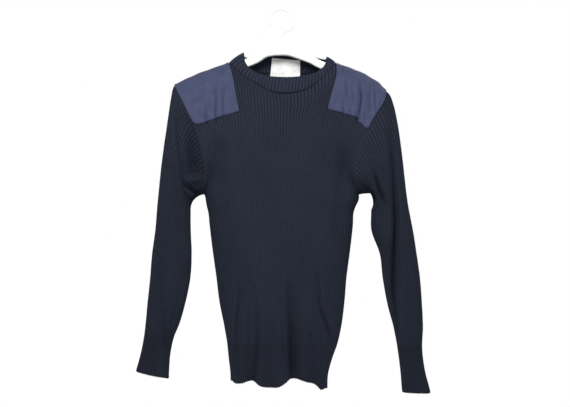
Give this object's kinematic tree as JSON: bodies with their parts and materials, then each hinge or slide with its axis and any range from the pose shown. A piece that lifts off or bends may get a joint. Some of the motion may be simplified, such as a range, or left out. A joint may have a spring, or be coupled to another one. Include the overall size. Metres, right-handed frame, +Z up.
{
  "type": "commando sweater on a hanger",
  "caption": "Rib-knit crew-neck pullover with woven shoulder patches, hanging from a white moulded hanger by its hook.",
  "frame": {"origin": "the point inside the top of the hanger's hook that bears on a rail", "axes": "+Z up, the front of the sweater faces -Y, +X is the viewer's right when facing the front"},
  "size_m": [0.6038, 0.1355, 0.7892],
  "materials": {
    "front_panel_knit": "fine raised ribs, dull wool",
    "back_panel_knit": "fine raised ribs, dull wool",
    "waistband_knit_front": "tight rib, dull wool",
    "waistband_knit_back": "tight rib, dull wool",
    "sleeve_knit_left": "fine raised ribs, dull wool",
    "sleeve_knit_right": "fine raised ribs, dull wool",
    "cuff_knit_left": "tight rib, dull wool",
    "cuff_knit_right": "tight rib, dull wool",
    "neckband_knit": "folded rib band, dull wool",
    "patch_cloth_left": "plain woven cotton blend, slight sheen",
    "patch_cloth_right": "plain woven cotton blend, slight sheen",
    "label_cloth": "bare woven tab",
    "hanger_plastic": "smooth white moulding"
  },
  "bodies": {
    "root": {"front_panel": "front_panel_knit", "back_panel": "back_panel_knit", "waistband_front": "waistband_knit_front", "waistband_back": "waistband_knit_back", "sleeve_left": "sleeve_knit_left", "sleeve_right": "sleeve_knit_right", "cuff_left": "cuff_knit_left", "cuff_right": "cuff_knit_right", "neckband": "neckband_knit", "shoulder_patch_left": "patch_cloth_left", "shoulder_patch_right": "patch_cloth_right", "neck_label": "label_cloth", "hanger": "hanger_plastic"}
  },
  "joints": []
}
